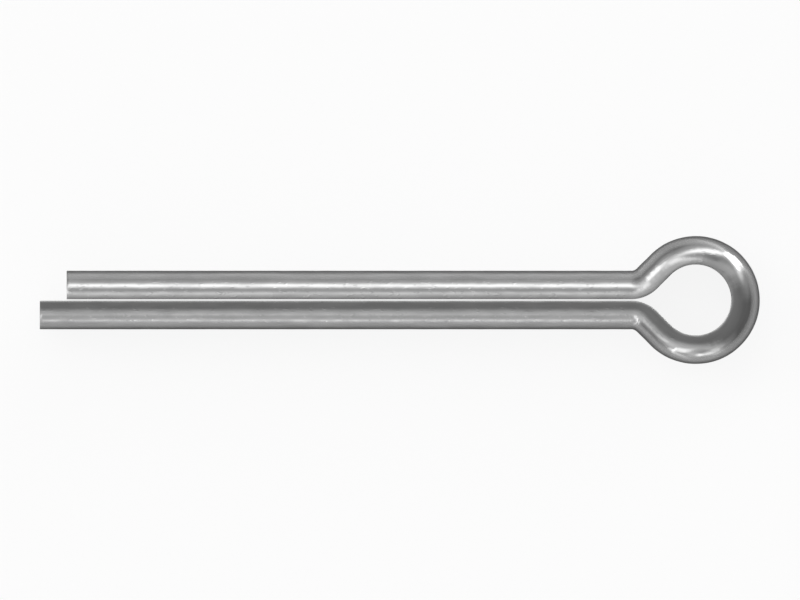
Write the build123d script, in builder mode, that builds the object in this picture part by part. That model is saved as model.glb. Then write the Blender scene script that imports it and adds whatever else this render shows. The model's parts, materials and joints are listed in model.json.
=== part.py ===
from math import cos, radians, sin, sqrt
import os

from build123d import *

# A cotter pin: one half-round wire, bent round an eye and back along itself as two legs.
# The legs lie flat to flat along X, with the eye at the +X end and the longer leg on the -Y side.
# It lies on the plane Z = 0, with the origin under the middle of its box.
# Sizes are in millimetres and angles in degrees.

# Shank, which the two legs make up as a round bar with a gap through it
shank_diameter = 3.91
leg_gap = 0.1  # between the flat sides, left by the spring of the wire
short_leg_length = 37.63  # the straight stretch, from the neck's bend to the cut end
long_leg_extra = 1.787  # how far the other leg reaches past it

# Wire, with a flat side and a crown
edge_rounding = 0.05  # along both edges of the flat side
end_rounding = 0.04  # round the cut ends

# Eye, a loop with the wire's flat side inwards
eye_bore = 4.726

# Necks, which lead from the eye in to the legs
neck_angle = 45  # between each neck and the legs
neck_bend_radius = 0.56  # of the crown, which is on the inside of this bend

# The wire's section
shank_radius = shank_diameter / 2
wire_thickness = shank_radius - leg_gap / 2
rounding_centre_height = sqrt(
    (shank_radius - edge_rounding) ** 2 - (leg_gap / 2 + edge_rounding) ** 2
)
resting_height = rounding_centre_height + edge_rounding  # of the wire's middle

# The flat side's line through both bends and the eye, which the wire follows
eye_radius = eye_bore / 2
flat_bend_radius = neck_bend_radius + wire_thickness
bend_rise = leg_gap / 2 + flat_bend_radius * (1 - cos(radians(neck_angle)))
neck_rise = eye_radius * cos(radians(neck_angle)) - bend_rise
neck_length = neck_rise / sin(radians(neck_angle))
bend_to_eye = (
    (flat_bend_radius + eye_radius) * sin(radians(neck_angle))
    + neck_length * cos(radians(neck_angle))
)
eye_turn = 180 + 2 * neck_angle
long_leg_length = short_leg_length + long_leg_extra

# Places along X
overall_length = long_leg_length + bend_to_eye + eye_radius + wire_thickness
eye_x = overall_length / 2 - wire_thickness - eye_radius
bend_x = eye_x - bend_to_eye

os.makedirs("parts", exist_ok=True)

with BuildPart() as cotter_pin:
    with BuildLine(Plane.XY.offset(resting_height)) as flat_line:
        short_leg = Line((bend_x - short_leg_length, leg_gap / 2), (bend_x, leg_gap / 2))
        short_bend = JernArc(short_leg @ 1, short_leg % 1, flat_bend_radius, neck_angle)
        short_neck = Line(short_bend @ 1, short_bend @ 1 + (short_bend % 1) * neck_length)
        eye = JernArc(short_neck @ 1, short_neck % 1, eye_radius, -eye_turn)
        long_neck = Line(eye @ 1, eye @ 1 + (eye % 1) * neck_length)
        long_bend = JernArc(long_neck @ 1, long_neck % 1, flat_bend_radius, neck_angle)
        long_leg = Line(long_bend @ 1, long_bend @ 1 + (long_bend % 1) * long_leg_length)
    with BuildSketch(Plane(short_leg @ 0, x_dir=(0, 1, 0), z_dir=short_leg % 0)) as half_round:
        with Locations((-leg_gap / 2, 0)):
            Circle(shank_radius)
        split(bisect_by=Plane.YZ)
        fillet(half_round.vertices(), edge_rounding)
    sweep(path=flat_line.line)
    cut_ends = cotter_pin.faces().filter_by(Axis.X)
    fillet(cut_ends.edges(), end_rounding)

cotter_pin.part.label = "cotter_pin"
export_step(cotter_pin.part, "parts/cotter_pin.step")
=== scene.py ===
# A cotter pin of half-round steel wire, lying on a pale sheet and seen from straight above.
# The dictionaries give lengths in millimetres and angles in degrees, and the scene is in metres.
import json

import bpy
import numpy as np
from mathutils import Matrix


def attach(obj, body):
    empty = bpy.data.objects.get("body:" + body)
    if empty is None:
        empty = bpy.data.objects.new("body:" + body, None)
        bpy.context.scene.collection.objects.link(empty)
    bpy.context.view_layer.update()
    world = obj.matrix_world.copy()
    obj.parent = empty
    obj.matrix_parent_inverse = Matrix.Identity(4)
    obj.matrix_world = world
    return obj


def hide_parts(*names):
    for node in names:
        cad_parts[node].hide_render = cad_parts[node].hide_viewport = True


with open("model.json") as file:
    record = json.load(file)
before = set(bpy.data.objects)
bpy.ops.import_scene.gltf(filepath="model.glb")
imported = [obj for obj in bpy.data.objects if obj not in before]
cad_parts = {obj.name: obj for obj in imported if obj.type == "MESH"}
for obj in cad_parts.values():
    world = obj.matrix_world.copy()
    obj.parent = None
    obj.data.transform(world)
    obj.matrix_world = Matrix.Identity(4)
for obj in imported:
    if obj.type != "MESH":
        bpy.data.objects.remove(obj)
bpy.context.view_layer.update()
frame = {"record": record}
scene = bpy.context.scene
metresPerMm = 0.001
mounts = {mount["name"]: mount for mount in frame["record"]["mounts"]}
print("cotter pin: the CAD frame is loaded")

cameraView = {
    "across": 53.333,  # of the surface, over the picture's width: 15 pixels to the millimetre
    "aside": 0.013,  # the pin's middle lies this much left of the picture's middle
    "above": 300,  # the sheet
    "nearest": 10,  # that it sees
}


def hangCamera():
    data = bpy.data.cameras.new("cameraAbove")
    data.type = "ORTHO"
    data.ortho_scale = cameraView["across"] * metresPerMm
    data.clip_start = cameraView["nearest"] * metresPerMm
    camera = bpy.data.objects.new("cameraAbove", data)
    camera.location = (cameraView["aside"] * metresPerMm, 0, cameraView["above"] * metresPerMm)
    scene.collection.objects.link(camera)
    scene.camera = camera


hangCamera()
print("cotter pin: the camera hangs over it")


def toLinear(colour):
    # an sRGB channel c is c / 12.92 up to 0.04045, and ((c + 0.055) / 1.055) ^ 2.4 above
    channels = [int(colour[at : at + 2], 16) / 255 for at in (1, 3, 5)]
    linear = [c / 12.92 if c <= 0.04045 else ((c + 0.055) / 1.055) ** 2.4 for c in channels]
    return (*linear, 1)


def addNode(tree, kind, links=None, inputs=None, **settings):
    # links go from another node's socket to an input of this node, and inputs are fixed values
    node = tree.nodes.new(kind)
    for name, value in settings.items():
        setattr(node, name, value)
    for name, value in (inputs or {}).items():
        node.inputs[name].default_value = value
    for name, socket in (links or {}).items():
        tree.links.new(socket, node.inputs[name])
    return node


def newMaterial(name):
    material = bpy.data.materials.new(name)
    material.use_nodes = True
    material.node_tree.nodes.clear()
    return material, material.node_tree


pin = {
    "legGap": 0.1,  # between the flat sides of the two legs
    "edgeRounding": 0.05,  # along both edges of the flat side
    "endRounding": 0.04,  # round the cut ends
    "shortLeg": 37.63,  # from its bend to its cut end
    "longLegExtra": 1.787,  # that the other leg reaches past it
    "neckAngle": 45,  # between each neck and its leg
    "bendRadius": 0.56,  # of the crown, on the inside of that bend
    "seed": 5,  # of the wire's unevenness
    "waves": 40,
    "legTilt": 0.0078,  # how far the waves on the legs tilt the surface, in radians
    "legShortest": 0.8,  # wavelengths along the wire
    "legLongest": 4.0,
    "legAround": 14,  # most waves round the whole wire
    "bendTilt": 0.014,
    "bendShortest": 0.3,
    "bendLongest": 2.5,
    "bendAround": 3,
    "bendReach": 1.5,  # how far the bending marks the straight wire beside it
    "cutReach": 1.0,  # how near a cut end the unevenness fades away
    "legStep": 0.16,  # between the rings of points, along the wire
    "bendStep": 0.05,
    "crownPoints": 64,  # round the crown
    "edgePoints": 4,  # round each edge of the flat side
    "flatPoints": 8,  # across it
    "endRings": 5,  # over the rounding of a cut end
    "cutShares": (0, 0.25, 0.5, 0.75),  # the rings within a cut face
    "cutMiddle": 0.8,  # from the flat side to the middle of a cut face
}
shankRadius = mounts["shank"]["dims"]["r_mm"]
eyeRadius = mounts["eye"]["dims"]["r_mm"]
bendX = mounts["shank"]["pos_m"][0] / metresPerMm
restingHeight = mounts["shank"]["pos_m"][2] / metresPerMm


def routeOfWire():
    # the flat side's line: leg, bend, neck, eye, neck, bend and leg, each with its length and turn
    angle = np.radians(pin["neckAngle"])
    bend = pin["bendRadius"] + shankRadius - pin["legGap"] / 2
    rise = pin["legGap"] / 2 + bend * (1 - np.cos(angle))
    neck = (eyeRadius * np.cos(angle) - rise) / np.sin(angle)
    eyeTurn = np.pi + 2 * angle
    return [
        ("leg", pin["shortLeg"], 0),
        ("bend", bend * angle, angle),
        ("neck", neck, 0),
        ("eye", eyeRadius * eyeTurn, -eyeTurn),
        ("neck", neck, 0),
        ("bend", bend * angle, angle),
        ("leg", pin["shortLeg"] + pin["longLegExtra"], 0),
    ]


def ahead(heading):
    return np.stack([np.cos(heading), np.sin(heading)], -1)


def leftOf(heading):
    return np.stack([-np.sin(heading), np.cos(heading)], -1)


def placeOnRoute(route, distance):
    # The heading grows evenly over a bend, by turn / length for each millimetre, and the place is
    # the bend's start plus its radius times (left of the first heading - left of the heading).
    start = np.array([bendX - pin["shortLeg"], pin["legGap"] / 2])
    heading, gone, starts = 0.0, 0.0, []
    for _, length, turn in route:
        starts.append((gone, heading, *start, turn / length))
        if turn:
            start = start + length / turn * (leftOf(heading) - leftOf(heading + turn))
        else:
            start = start + length * ahead(heading)
        heading, gone = heading + turn, gone + length
    starts = np.array(starts)
    run = np.searchsorted(starts[:, 0], distance, side="right") - 1
    gone, first, x, y, curve = starts[run].T
    past = distance - gone
    headings = first + curve * past
    radius = 1 / np.where(curve == 0, 1, curve)
    arc = radius[:, None] * (leftOf(first) - leftOf(headings))
    straight = past[:, None] * ahead(first)
    places = np.stack([x, y], -1) + np.where(curve[:, None] == 0, straight, arc)
    return places, headings


def stationsAlong(route):
    # distances of the rings: close together over the cut ends' rounding and in the bends
    total = sum(length for _, length, _ in route)
    quarter = np.linspace(0, np.pi / 2, pin["endRings"])
    rounding = pin["endRounding"] * (1 - np.cos(quarter))
    edges = np.cumsum([0] + [length for _, length, _ in route])
    edges[0], edges[-1] = pin["endRounding"], total - pin["endRounding"]
    runs = []
    for (kind, _, _), low, high in zip(route, edges[:-1], edges[1:]):
        step = pin["legStep"] if kind == "leg" else pin["bendStep"]
        runs.append(np.linspace(low, high, int(np.ceil((high - low) / step)) + 1)[1:])
    return np.concatenate([rounding, *runs, total - rounding[::-1][1:]]), total


def halfRound(inset):
    # The section with its flat at 0 and its crown outwards, moved inwards by the inset. Each point
    # is a centre plus a radius times (cos, sin) of its normal's angle: the crown is round the
    # shank's axis, the edges are round their own centres, and the flat has the angle 180.
    edge, gap = pin["edgeRounding"], pin["legGap"] / 2
    edgeHeight = np.sqrt((shankRadius - edge) ** 2 - (gap + edge) ** 2)
    meet = np.arctan2(edgeHeight, gap + edge)
    flat = np.linspace(-edgeHeight, edgeHeight, pin["flatPoints"] + 2)[1:-1]
    lower = np.linspace(-np.pi, -meet, pin["edgePoints"] + 1)[:-1]
    crown = np.linspace(-meet, meet, pin["crownPoints"] + 1)
    upper = np.linspace(meet, np.pi, pin["edgePoints"] + 1)[1:]
    angle = np.concatenate([lower, crown, upper, np.full(flat.size, np.pi)])
    onCrown = np.concatenate([lower * 0, crown * 0 + 1, upper * 0, flat * 0])
    middle = np.concatenate([lower * 0 - edgeHeight, crown * 0, upper * 0 + edgeHeight, flat[::-1]])
    radius = np.where(onCrown, shankRadius, edge)[None, :] - inset[:, None]
    out = np.where(onCrown, -gap, edge) + radius * np.cos(angle)
    up = middle + radius * np.where(np.abs(angle) < np.pi, np.sin(angle), 0)
    onEdge = np.concatenate([lower * 0 + 1, crown * 0, upper * 0 + 1, flat * 0])
    return out, up, angle, onEdge


def waves(distance, angle, kind, seed):
    # A sum of cosines of (2 pi distance / wavelength + turns x angle + phase), all three random,
    # with whole turns round the wire. Each wave is as high as makes it tilt the surface as far as
    # the others do: its share of the tilt, over its steepness per millimetre of height.
    random = np.random.default_rng(seed)
    count = pin["waves"]
    length = np.geomspace(pin[kind + "Shortest"], pin[kind + "Longest"], count)
    turns = random.integers(-pin[kind + "Around"], pin[kind + "Around"] + 1, count)
    phase = random.uniform(0, 2 * np.pi, count)
    steepness = np.hypot(2 * np.pi / length, turns / shankRadius)
    height = pin[kind + "Tilt"] * np.sqrt(2 / count) / steepness
    swing = 2 * np.pi * distance[:, None, None] / length + turns * angle[None, :, None] + phase
    return (np.cos(swing) * height).sum(-1)


def unevenness(distance, angle, bent):
    # the drawing's waves on the legs, which blend into the bending's waves round the eye, and
    # which fade to nothing on the flat side
    onLegs = waves(distance, angle, "leg", pin["seed"])
    onBends = waves(distance, angle, "bend", pin["seed"] + 1)
    onCrown = (1 + np.cos(angle)) / 2
    return (onLegs + (onBends - onLegs) * bent[:, None]) * onCrown


def sweepWire():
    # Every point is the place on the route, plus the section's outward part along the left of the
    # heading, plus its upward part along Z.
    route = routeOfWire()
    distance, total = stationsAlong(route)
    places, headings = placeOnRoute(route, distance)
    toEnd = np.minimum(distance, total - distance)
    rounding = pin["endRounding"]
    left = rounding - np.minimum(toEnd, rounding)
    inset = rounding - np.sqrt(rounding**2 - left**2)
    out, up, angle, onEdge = halfRound(inset)

    bendEnd = total - pin["shortLeg"] - pin["longLegExtra"]
    bent = np.clip((distance - pin["shortLeg"]) / pin["bendReach"] + 1, 0, 1)
    bent = bent * np.clip((bendEnd - distance) / pin["bendReach"] + 1, 0, 1)
    fade = np.clip(toEnd / pin["cutReach"], 0, 1)[:, None]
    height = unevenness(distance, angle, bent) * fade
    out = out + height * np.cos(angle)
    up = np.maximum(up + height * np.sin(angle), -restingHeight)  # it lies on the sheet

    # the cut faces: the first and last rings drawn in to their middle
    shares = np.array(pin["cutShares"])
    middle = pin["cutMiddle"]
    firstOut = middle + (out[0] - middle) * shares[:, None]
    lastOut = middle + (out[-1] - middle) * shares[::-1, None]
    out = np.concatenate([firstOut, out, lastOut])
    up = np.concatenate([up[0] * shares[:, None], up, up[-1] * shares[::-1, None]])
    caps = shares.size
    distance = np.pad(distance, caps, mode="edge")
    places = np.pad(places, ((caps, caps), (0, 0)), mode="edge")
    headings = np.pad(headings, caps, mode="edge")
    bent = np.pad(bent, caps)
    cut = np.zeros(distance.size)
    cut[: caps + 1], cut[-caps - 1 :] = 1, 1

    flatPlace = places[:, None, :] + out[..., None] * leftOf(headings)[:, None, :]
    points = np.concatenate([flatPlace, (up + restingHeight)[..., None]], -1)
    inWire = np.stack([np.broadcast_to(distance[:, None], out.shape), out, up], -1)
    onEdge = np.broadcast_to(onEdge[:, None], (*out.shape, 1))
    return points * metresPerMm, inWire, bent, cut, onEdge


def ringFaces(rings, around):
    # quads between neighbouring rings, and triangles from each end ring to its middle point
    first = 1 + np.arange(rings)[:, None] * around + np.arange(around)
    after = np.roll(first, -1, axis=1)
    quads = np.stack([first[:-1], after[:-1], after[1:], first[1:]], -1).reshape(-1, 4)
    last = 1 + rings * around
    startFan = np.stack([np.zeros(around, int), after[0], first[0]], -1)
    endFan = np.stack([np.full(around, last), first[-1], after[-1]], -1)
    return quads, np.concatenate([startFan, endFan])


def closeRings(values):
    # the outermost rings are single points
    inner = values[1:-1].reshape(-1, values.shape[-1])
    return np.concatenate([values[:1, 0], inner, values[-1:, 0]])


def makeWire():
    points, inWire, bent, cut, onEdge = sweepWire()
    rings, around = points.shape[:2]
    quads, fans = ringFaces(rings - 2, around)
    mesh = bpy.data.meshes.new("cotterPinWire")
    mesh.from_pydata(closeRings(points).tolist(), [], quads.tolist() + fans.tolist())
    mesh.shade_smooth()

    values = {"inWire": inWire, "bent": bent, "cut": cut, "onEdge": onEdge}
    for name, value in values.items():
        if value.ndim == 1:  # one for each ring
            value = np.broadcast_to(value[:, None, None], (rings, around, 1))
        value = closeRings(np.asarray(value))
        kind = "FLOAT_VECTOR" if value.shape[-1] == 3 else "FLOAT"
        attribute = mesh.attributes.new(name, kind, "POINT")
        field = "vector" if kind == "FLOAT_VECTOR" else "value"
        attribute.data.foreach_set(field, value.astype(np.float32).ravel())

    mesh.validate()
    wire = bpy.data.objects.new("cotterPinWire", mesh)
    scene.collection.objects.link(wire)
    print(f"cotter pin: the wire has {len(mesh.vertices)} points and {len(mesh.polygons)} faces")
    return wire


steel = {
    "colour": "#A8A8A8",  # of the bright wire
    "staining": "#9E9E9E",  # where a film of drawing soap is left
    "edgeTint": "#959595",  # of the reflection at a glancing angle
    "roughness": 0.07,
    "stainedRoughness": 0.13,
    "edgeRoughness": 0.3,  # where the wire's edges are scuffed
    "cutRoughness": 0.42,  # of the two cut faces, where the shears tore the steel
    "stainLength": 2.2,  # along the wire
    "stainWidth": 0.5,
    "stainRange": (0.35, 0.7),  # of the noise: no film below it, and all of the film above it
    "stainDetail": 3.0,  # octaves of finer noise within the patches
    "lineLength": 9.0,  # of the die's lines, which are really finer than the picture shows
    "lineWidth": 0.09,
    "lineHeight": 0.0008,
    "lineDetail": 2.0,
    "dentLength": 0.4,  # along the wire
    "dentWidth": 0.2,
    "dentHeight": 0.003,
    "dentRange": (0.58, 0.8),  # of the noise, which leaves small dents far apart
    "dentDetail": 1.0,
    "wrinkleLength": 0.15,  # of the bending's marks, along the wire
    "wrinkleWidth": 1.2,  # and round it
    "wrinkleHeight": 0.0022,
    "wrinkleDetail": 2.0,
    "shearSize": 0.12,  # of the torn grain on the cut faces
    "shearHeight": 0.03,
    "shearDetail": 4.0,
}


def noiseInWire(tree, along, across, detail):
    # noise on the place in the wire before it was bent, with cells of that length and width, and
    # as many octaves of finer noise as the detail says
    place = addNode(tree, "ShaderNodeAttribute", attribute_name="inWire").outputs["Vector"]
    scale = (1 / along, 1 / across, 1 / across)
    scaled = addNode(
        tree, "ShaderNodeVectorMath", {0: place}, {1: scale}, operation="MULTIPLY"
    ).outputs["Vector"]
    return addNode(
        tree, "ShaderNodeTexNoise", {"Vector": scaled}, {"Scale": 1.0, "Detail": detail}
    ).outputs["Fac"]


def rampOf(tree, value, limits):
    # 0 below the lower limit, 1 above the upper one, and smooth between them
    return addNode(
        tree,
        "ShaderNodeMapRange",
        {"Value": value},
        {"From Min": limits[0], "From Max": limits[1]},
        interpolation_type="SMOOTHSTEP",
    ).outputs["Result"]


def maskedBy(tree, value, mask):
    # the value times the mask, which is another socket or a number
    node = addNode(tree, "ShaderNodeMath", {0: value}, operation="MULTIPLY")
    if isinstance(mask, bpy.types.NodeSocket):
        tree.links.new(mask, node.inputs[1])
    else:
        node.inputs[1].default_value = mask
    return node.outputs["Value"]


def bumpOf(tree, height, size, before=None):
    # size is the height in millimetres between the lowest and the highest
    links = {"Height": height}
    if before:
        links["Normal"] = before
    inputs = {"Strength": 1.0, "Distance": size * metresPerMm}
    return addNode(tree, "ShaderNodeBump", links, inputs).outputs["Normal"]


def brightDrawnSteel():
    # Low-carbon steel wire, drawn through a die and left bright: a mirror softened by fine lines
    # along the wire, with small dents, faint duller patches, and short marks across the wire where
    # it was bent round the eye. Its edges are scuffed, and the cut faces are torn and matt.
    material, tree = newMaterial("brightDrawnSteel")
    cut = addNode(tree, "ShaderNodeAttribute", attribute_name="cut").outputs["Fac"]
    bent = addNode(tree, "ShaderNodeAttribute", attribute_name="bent").outputs["Fac"]
    onEdge = addNode(tree, "ShaderNodeAttribute", attribute_name="onEdge").outputs["Fac"]
    film = noiseInWire(tree, steel["stainLength"], steel["stainWidth"], steel["stainDetail"])
    stains = rampOf(tree, film, steel["stainRange"])
    colour = addNode(
        tree,
        "ShaderNodeMix",
        {"Factor": stains},
        {"A": toLinear(steel["colour"]), "B": toLinear(steel["staining"])},
        data_type="RGBA",
    )
    drawn = addNode(
        tree,
        "ShaderNodeMix",
        {"Factor": stains},
        {"A": steel["roughness"], "B": steel["stainedRoughness"]},
    ).outputs["Result"]
    scuffed = addNode(
        tree, "ShaderNodeMix", {"Factor": onEdge, "A": drawn}, {"B": steel["edgeRoughness"]}
    ).outputs["Result"]
    rough = addNode(
        tree, "ShaderNodeMix", {"Factor": cut, "A": scuffed}, {"B": steel["cutRoughness"]}
    ).outputs["Result"]
    lines = noiseInWire(tree, steel["lineLength"], steel["lineWidth"], steel["lineDetail"])
    dents = noiseInWire(tree, steel["dentLength"], steel["dentWidth"], steel["dentDetail"])
    dents = rampOf(tree, dents, steel["dentRange"])
    wrinkles = noiseInWire(
        tree, steel["wrinkleLength"], steel["wrinkleWidth"], steel["wrinkleDetail"]
    )
    wrinkles = maskedBy(tree, wrinkles, bent)
    torn = noiseInWire(tree, steel["shearSize"], steel["shearSize"], steel["shearDetail"])
    torn = maskedBy(tree, torn, cut)
    normal = bumpOf(tree, lines, steel["lineHeight"])
    normal = bumpOf(tree, dents, steel["dentHeight"], normal)
    normal = bumpOf(tree, wrinkles, steel["wrinkleHeight"], normal)
    normal = bumpOf(tree, torn, steel["shearHeight"], normal)
    shader = addNode(
        tree,
        "ShaderNodeBsdfPrincipled",
        {"Base Color": colour.outputs["Result"], "Roughness": rough, "Normal": normal},
        {"Metallic": 1.0, "Specular Tint": toLinear(steel["edgeTint"])},
    )
    addNode(tree, "ShaderNodeOutputMaterial", {"Surface": shader.outputs["BSDF"]})
    return material


wire = makeWire()
wire.data.materials.append(brightDrawnSteel())
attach(wire, "root")
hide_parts("cotter_pin")
print("cotter pin: the wire has its bright drawn steel")

sheet = {
    "half": 1500,  # from its middle to each side
    "colour": "#F3F3F3",  # of the acrylic
    "roughness": 0.1,  # of its polish
    "lacquerRoughness": 0.04,
    "lacquerShare": 1.0,  # of the sheet that is lacquered
    "glow": 0.88,  # share of plain white that the camera sees in it
    "glowInMetal": 0.2,  # and that the metal sees, which leaves it the shadow beside the pin
}


def lacqueredAcrylic():
    # White cast acrylic sheet, polished and lacquered clear, so that it shows the lamps again at a
    # low angle. The camera and the metal see it partly as plain white, and it lights nothing with
    # that.
    material, tree = newMaterial("lacqueredAcrylic")
    face = addNode(
        tree,
        "ShaderNodeBsdfPrincipled",
        inputs={
            "Base Color": toLinear(sheet["colour"]),
            "Roughness": sheet["roughness"],
            "Coat Weight": sheet["lacquerShare"],
            "Coat Roughness": sheet["lacquerRoughness"],
        },
    )
    white = addNode(tree, "ShaderNodeEmission", inputs={"Strength": 1.0})
    ray = addNode(tree, "ShaderNodeLightPath")
    share = None
    shares = {
        "Is Camera Ray": sheet["glow"],
        "Is Glossy Ray": sheet["glowInMetal"],
        "Is Transmission Ray": sheet["glow"],
    }
    for kind, glow in shares.items():
        seen = maskedBy(tree, ray.outputs[kind], glow)
        if share:
            links = {0: share, 1: seen}
            seen = addNode(tree, "ShaderNodeMath", links, operation="MAXIMUM").outputs["Value"]
        share = seen
    links = {0: share, 1: face.outputs["BSDF"], 2: white.outputs["Emission"]}
    mix = addNode(tree, "ShaderNodeMixShader", links)
    addNode(tree, "ShaderNodeOutputMaterial", {"Surface": mix.outputs["Shader"]})
    return material


def layFloor():
    half = sheet["half"] * metresPerMm
    corners = [(-half, -half, 0), (half, -half, 0), (half, half, 0), (-half, half, 0)]
    mesh = bpy.data.meshes.new("paleSheet")
    mesh.from_pydata(corners, [], [(0, 1, 2, 3)])
    mesh.materials.append(lacqueredAcrylic())
    floor = bpy.data.objects.new("paleSheet", mesh)
    scene.collection.objects.link(floor)


layFloor()
print("cotter pin: the sheet lies under it")


# Softboxes stand round the pin. The bearing is counter-clockwise from the eye's end, and the drop
# is from straight above. Length and width are angles as the pin sees them, and the turn is how far
# the length is turned from running down. The level is the brightness in the middle, where 1 is
# white, and the core is the share of the softbox that has it before it fades to the rim.
# The numbers stand in that order: bearing, drop, turn, length, width, level and core.
softboxes = {
    "key": (159, 63.6, 60, 67.7, 37.2, 3.12, 0.24),
    "window": (28.1, 81.3, 14.8, 90, 62.8, 0.44, 0),
    "windowTop": (42.9, 84.8, 30.5, 78.8, 30.3, 1.8, 0),
    "strip": (78.9, 65.2, -52.4, 82, 31.3, 1.5, 0),
    "stripGlow": (73.2, 76.1, -62.7, 90, 69.4, 0.63, 0.06),
    "overStrip": (94.2, 23.2, 57.5, 21, 38.7, 0.5, 0.07),
    "overSpot": (114.9, 35.9, 35.8, 46.7, 21.5, 0.98, 0),
    "overBand": (41.5, 40.6, -8.3, 67.9, 37.7, 0.6, 0),
    "neckSpot": (126.7, 56.6, -37.5, 65.7, 76, 0.46, 0.06),
    "overhead": (104.9, 30.3, 3.6, 87.9, 56.6, 0.31, 0.36),
    "leftHigh": (148.6, 43.8, -70.1, 73.4, 64, 0.41, 0.57),
    "lowBroad": (-98.4, 58.4, -85.6, 81.4, 57.6, 0.7, 0.06),
    "lowStrip": (-108.4, 79.6, 59.1, 19, 64, 1.02, 0.3),
    "lowStripTwo": (-71, 89.7, -47.2, 90, 52.4, 0.46, 0),
    "lowHorizon": (-87.6, 90, 38.4, 76.7, 33.9, 0.65, 0),
    "lowLeft": (-120.1, 75.5, 49.5, 89.6, 50.9, 0.55, 0.03),
    "windowCorner": (45.4, 90, -58.1, 55.1, 32.6, 1.5, 0.01),
    "windowStreak": (46.2, 81.1, 62.8, 29.9, 16.5, 5, 0.5),
    "stripEdge": (77.4, 65.4, -53.5, 57.1, 19.1, 0.64, 0.24),
    "stripFoot": (55.9, 84.6, 41.6, 55.3, 47.8, 0.34, 0.32),
    "lowCorner": (-75.2, 90, -29.5, 54.3, 29, 1.3, 0),
    "lowFoot": (-85.5, 90, 5.4, 27.4, 11.8, 1.15, 0.2),
    "lowNeck": (-131.4, 69.3, -34.5, 30, 12, 0.42, 0.35),
    "lowStreak": (-114.3, 90, -10.2, 52.2, 8.5, 1.3, 0.2),
    "lowEdge": (-68.6, 68.5, 32.7, 43.2, 23.1, 0.27, 0.23),
}
studio = {
    "distance": 3,  # metres to each softbox
    "lightSide": (-0.65, 0.271, 0.71),  # the way to the lightest part of the room's grey walls
    "lightest": 0.433,  # brightness there
    "darkest": 0.24,
    "darkFrom": -0.5,  # they are darkest where their cosine with the light side is below this
    "below": 0.94,  # brightness below the horizon
}


def softboxFace(data, level, core):
    # brightest in the middle and fading to nothing at the rim, as cloth over a lamp is: the lamp's
    # own coordinates run from 0 to 1, so that its rim is 0.5 from the middle
    data.use_nodes = True
    tree = data.node_tree
    tree.nodes.clear()
    place = addNode(tree, "ShaderNodeNewGeometry")
    fromMiddle = addNode(
        tree,
        "ShaderNodeVectorMath",
        {0: place.outputs["Parametric"]},
        {1: (0.5, 0.5, 0)},
        operation="DISTANCE",
    )
    fade = addNode(
        tree,
        "ShaderNodeMapRange",
        {"Value": fromMiddle.outputs["Value"]},
        {"From Min": 0.5, "From Max": core / 2, "To Min": 0, "To Max": level},
        interpolation_type="SMOOTHSTEP",
    )
    light = addNode(tree, "ShaderNodeEmission", {"Strength": fade.outputs["Result"]})
    addNode(tree, "ShaderNodeOutputLight", {"Surface": light.outputs["Emission"]})


def hangSoftbox(name, bearing, drop, turn, length, width, level, core):
    # It faces the pin. A lamp's brightness is its power over pi and its area, which is pi / 4 times
    # the length and the width of an ellipse.
    b, d, t = np.radians([bearing, drop, turn])
    outward = np.array([np.sin(d) * np.cos(b), np.sin(d) * np.sin(b), np.cos(d)])
    down = np.array([np.cos(d) * np.cos(b), np.cos(d) * np.sin(b), -np.sin(d)])
    aside = np.array([-np.sin(b), np.cos(b), 0])
    longWay = np.cos(t) * down + np.sin(t) * aside
    data = bpy.data.lights.new(name, "AREA")
    data.shape = "ELLIPSE"
    data.size, data.size_y = 2 * studio["distance"] * np.tan(np.radians([length, width]) / 2)
    data.energy = np.pi * (np.pi / 4) * data.size * data.size_y
    softboxFace(data, level, core)
    lamp = bpy.data.objects.new(name, data)
    placing = np.eye(4)
    placing[:3, :3] = np.stack([longWay, np.cross(outward, longWay), outward], -1)
    placing[:3, 3] = outward * studio["distance"]
    lamp.matrix_world = Matrix(placing)
    lamp.visible_camera = False
    scene.collection.objects.link(lamp)


def paintRoom():
    # grey walls, lighter on one side, and as pale as the sheet below the horizon
    world = bpy.data.worlds.new("studioRoom")
    scene.world = world
    world.use_nodes = True
    tree = world.node_tree
    tree.nodes.clear()
    way = addNode(tree, "ShaderNodeTexCoord").outputs["Generated"]
    up = addNode(tree, "ShaderNodeSeparateXYZ", {"Vector": way}).outputs["Z"]
    side = addNode(
        tree, "ShaderNodeVectorMath", {0: way}, {1: studio["lightSide"]}, operation="DOT_PRODUCT"
    )
    walls = addNode(
        tree,
        "ShaderNodeMapRange",
        {"Value": side.outputs["Value"]},
        {
            "From Min": studio["darkFrom"],
            "To Min": studio["darkest"],
            "To Max": studio["lightest"],
        },
    )
    above = addNode(tree, "ShaderNodeMath", {0: up}, {1: 0}, operation="GREATER_THAN")
    level = addNode(
        tree,
        "ShaderNodeMix",
        {"Factor": above.outputs["Value"], "B": walls.outputs["Result"]},
        {"A": studio["below"]},
    )
    white = {"Color": (1, 1, 1, 1)}
    back = addNode(tree, "ShaderNodeBackground", {"Strength": level.outputs["Result"]}, white)
    addNode(tree, "ShaderNodeOutputWorld", {"Surface": back.outputs["Background"]})


for name, softbox in softboxes.items():
    hangSoftbox(name, *softbox)
paintRoom()
scene.view_settings.view_transform = "Standard"
print("cotter pin: the studio is lit")

print("cotter pin: done")
